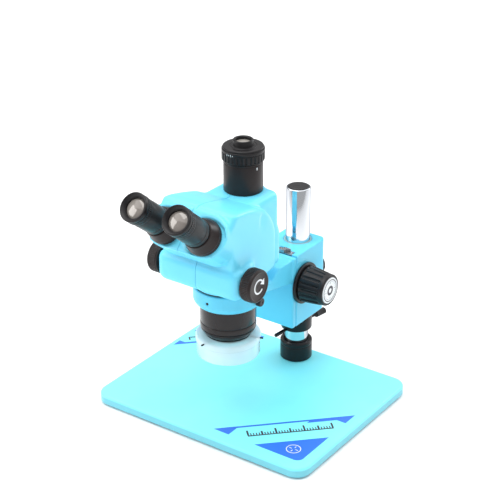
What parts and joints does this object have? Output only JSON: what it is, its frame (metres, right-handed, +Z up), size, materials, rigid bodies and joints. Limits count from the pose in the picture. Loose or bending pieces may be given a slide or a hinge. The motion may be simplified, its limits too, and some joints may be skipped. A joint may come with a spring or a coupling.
{
  "type": "stereo microscope",
  "caption": "Trinocular zoom stereo microscope head on a geared focus arm, with a chrome post standing on a flat rectangular base plate.",
  "frame": {"origin": "centre of the base plate's top face, where the work lies", "axes": "+Z up, -Y towards the user, +X to the user's right, with the post behind at +Y"},
  "size_m": [0.325, 0.3652, 0.3733],
  "materials": {
    "cyan_paint": "smooth satin gloss enamel",
    "base_paint": "fine powder coat, satin",
    "post_chrome": "polished chrome plate",
    "black_metal": "satin black anodised",
    "barrel_black": "gloss black enamel",
    "brown_black": "satin black with a warm tint",
    "barrel_grey": "satin dark grey anodised",
    "black_plastic": "moulded, satin",
    "white_label": "printed disc",
    "foot_rubber": "matte",
    "nylon": "natural nylon",
    "brass": "machined",
    "steel": "ground",
    "lens_glass": "coated lens",
    "shield_plastic": "pale translucent"
  },
  "bodies": {
    "stand": {"base_plate": "base_paint", "base_foot_front_left": "foot_rubber", "base_foot_front_right": "foot_rubber", "base_foot_rear_left": "foot_rubber", "base_foot_rear_right": "foot_rubber", "post": "post_chrome", "post_cap": "black_plastic", "post_bolt": "steel", "base_collar": "black_metal"},
    "stop_collar": {"stop_collar": "black_metal", "stop_collar_pin": "black_metal"},
    "stop_collar_screw": {"stop_collar_screw": "black_plastic"},
    "post_sleeve": {"post_sleeve": "nylon"},
    "focus_block": {"focus_block": "cyan_paint", "guide_rail_left": "steel", "guide_rail_right": "steel", "pinion_bush_left": "brass", "pinion_bush_right": "brass"},
    "clamp_knob": {"clamp_knob": "black_plastic"},
    "tension_ring_left": {"tension_ring_left": "black_plastic"},
    "tension_ring_right": {"tension_ring_right": "black_plastic"},
    "focus_drive": {"pinion": "steel", "focus_knob_left": "black_plastic", "focus_knob_right": "black_plastic", "focus_disc_left": "white_label", "focus_disc_right": "white_label"},
    "carriage": {"arm": "cyan_paint", "slide_bar": "steel", "focus_rack": "brass", "ring_grub_screw": "black_metal"},
    "ring_lock_screw": {"ring_lock_screw": "black_plastic"},
    "head": {"objective_barrel": "barrel_black", "nose_ring": "barrel_black", "objective_lens": "lens_glass", "head_flange": "cyan_paint", "light_shield": "shield_plastic", "head_shell_left": "cyan_paint", "head_shell_right": "cyan_paint", "guide_rod": "steel", "camera_tube": "brown_black", "camera_mount": "black_metal", "camera_lens": "lens_glass"},
    "shield_screw_1": {"shield_screw_1": "black_metal"},
    "shield_screw_2": {"shield_screw_2": "black_metal"},
    "shield_screw_3": {"shield_screw_3": "black_metal"},
    "zoom_drive": {"zoom_shaft": "steel", "zoom_knob_left": "brown_black", "zoom_knob_right": "brown_black"},
    "zoom_cam": {"zoom_cam": "brass"},
    "lens_carrier_lower": {"lens_carrier_lower": "black_metal"},
    "lens_carrier_upper": {"lens_carrier_upper": "black_metal"},
    "tube_left": {"tube_mount_left": "brown_black", "eyepiece_left": "barrel_grey"},
    "tube_right": {"tube_mount_right": "brown_black", "eyepiece_right": "barrel_grey"},
    "diopter_left": {"diopter_ring_left": "black_metal", "eye_lens_left": "lens_glass"},
    "diopter_right": {"diopter_ring_right": "black_metal", "eye_lens_right": "lens_glass"},
    "camera_focus_ring": {"camera_focus_ring": "black_metal"}
  },
  "joints": [
    {"name": "stop_collar_slide", "type": "slide", "parent": "stand", "child": "stop_collar", "axis": [0, 0, 1], "range_m": [-0.018, 0]},
    {"name": "stop_collar_screw_turn", "type": "hinge", "parent": "stop_collar", "child": "stop_collar_screw", "pos_m": [0, 0.104, 0.0482], "axis": [0.1736, 0.9848, 0], "range_deg": [-180, 180]},
    {"name": "post_slide", "type": "slide", "parent": "stand", "child": "post_sleeve", "axis": [0, 0, 1], "range_m": [0, 0.06]},
    {"name": "block_swivel", "type": "hinge", "parent": "post_sleeve", "child": "focus_block", "pos_m": [0, 0.104, -0.013], "axis": [0, 0, 1], "continuous": true},
    {"name": "clamp_knob_turn", "type": "hinge", "parent": "focus_block", "child": "clamp_knob", "pos_m": [0, 0.104, 0.123], "axis": [0, 1, 0], "range_deg": [-180, 180]},
    {"name": "tension_ring_left_turn", "type": "hinge", "parent": "focus_block", "child": "tension_ring_left", "pos_m": [0, 0.0732, 0.133], "axis": [1, 0, 0], "range_deg": [-30, 30]},
    {"name": "tension_ring_right_turn", "type": "hinge", "parent": "focus_block", "child": "tension_ring_right", "pos_m": [0, 0.0732, 0.133], "axis": [1, 0, 0], "range_deg": [-30, 30]},
    {"name": "focus_slide", "type": "slide", "parent": "focus_block", "child": "carriage", "axis": [0, 0, 1], "range_m": [-0.02, 0.02]},
    {"name": "focus_turn", "type": "hinge", "parent": "focus_block", "child": "focus_drive", "pos_m": [0, 0.0732, 0.133], "axis": [1, 0, 0], "range_deg": [-215, 215]},
    {"name": "ring_lock_screw_turn", "type": "hinge", "parent": "carriage", "child": "ring_lock_screw", "pos_m": [0, -0.0535, 0.16425], "axis": [1, 0, 0], "range_deg": [-180, 180]},
    {"name": "head_turn", "type": "hinge", "parent": "carriage", "child": "head", "pos_m": [0, -0.0535, 0.177], "axis": [0, 0, 1], "continuous": true},
    {"name": "shield_screw_1_turn", "type": "hinge", "parent": "head", "child": "shield_screw_1", "pos_m": [0, -0.0535, 0.1047], "axis": [-0.1908, -0.9816, 0], "range_deg": [-180, 180]},
    {"name": "shield_screw_2_turn", "type": "hinge", "parent": "head", "child": "shield_screw_2", "pos_m": [0, -0.0535, 0.1047], "axis": [0.9455, 0.3256, 0], "range_deg": [-180, 180]},
    {"name": "shield_screw_3_turn", "type": "hinge", "parent": "head", "child": "shield_screw_3", "pos_m": [0, -0.0535, 0.1047], "axis": [-0.7547, 0.6561, 0], "range_deg": [-180, 180]},
    {"name": "zoom_turn", "type": "hinge", "parent": "head", "child": "zoom_drive", "pos_m": [0, -0.0967, 0.2113], "axis": [1, 0, 0], "range_deg": [-100, 100]},
    {"name": "zoom_cam_turn", "type": "hinge", "parent": "head", "child": "zoom_cam", "pos_m": [0, -0.0807, 0.2113], "axis": [1, 0, 0], "range_deg": [-105, 105]},
    {"name": "lens_carrier_lower_slide", "type": "slide", "parent": "head", "child": "lens_carrier_lower", "axis": [0, 0, 1], "range_m": [-0.0098, 0.0098]},
    {"name": "lens_carrier_upper_slide", "type": "slide", "parent": "head", "child": "lens_carrier_upper", "axis": [0, 0, 1], "range_m": [-0.0081, 0.0081]},
    {"name": "tube_left_swing", "type": "hinge", "parent": "head", "child": "tube_left", "pos_m": [-0.02858, -0.15143, 0.26867], "axis": [-0.0454, -0.7818, 0.6219], "range_deg": [-16, 22]},
    {"name": "tube_right_swing", "type": "hinge", "parent": "head", "child": "tube_right", "pos_m": [0.02858, -0.15143, 0.26867], "axis": [0.0454, -0.7818, 0.6219], "range_deg": [-22, 16]},
    {"name": "diopter_left_turn", "type": "hinge", "parent": "tube_left", "child": "diopter_left", "pos_m": [-0.028, -0.1415, 0.2812], "axis": [-0.0454, -0.7818, 0.6219], "range_deg": [-150, 150]},
    {"name": "diopter_right_turn", "type": "hinge", "parent": "tube_right", "child": "diopter_right", "pos_m": [0.028, -0.1415, 0.2812], "axis": [0.0454, -0.7818, 0.6219], "range_deg": [-150, 150]},
    {"name": "camera_focus_turn", "type": "hinge", "parent": "head", "child": "camera_focus_ring", "pos_m": [0, -0.02, 0.332], "axis": [0, 0, 1], "range_deg": [-90, 90]}
  ],
  "couplings": [
    {"joint": "focus_turn", "follows": "focus_slide", "rad_per_m": -185.19},
    {"joint": "zoom_cam_turn", "follows": "zoom_turn", "ratio": -1},
    {"joint": "lens_carrier_lower_slide", "follows": "zoom_turn", "m_per_rad": 0.0055},
    {"joint": "lens_carrier_upper_slide", "follows": "zoom_turn", "m_per_rad": -0.0045},
    {"joint": "tube_left_swing", "follows": "tube_right_swing", "ratio": -1}
  ]
}
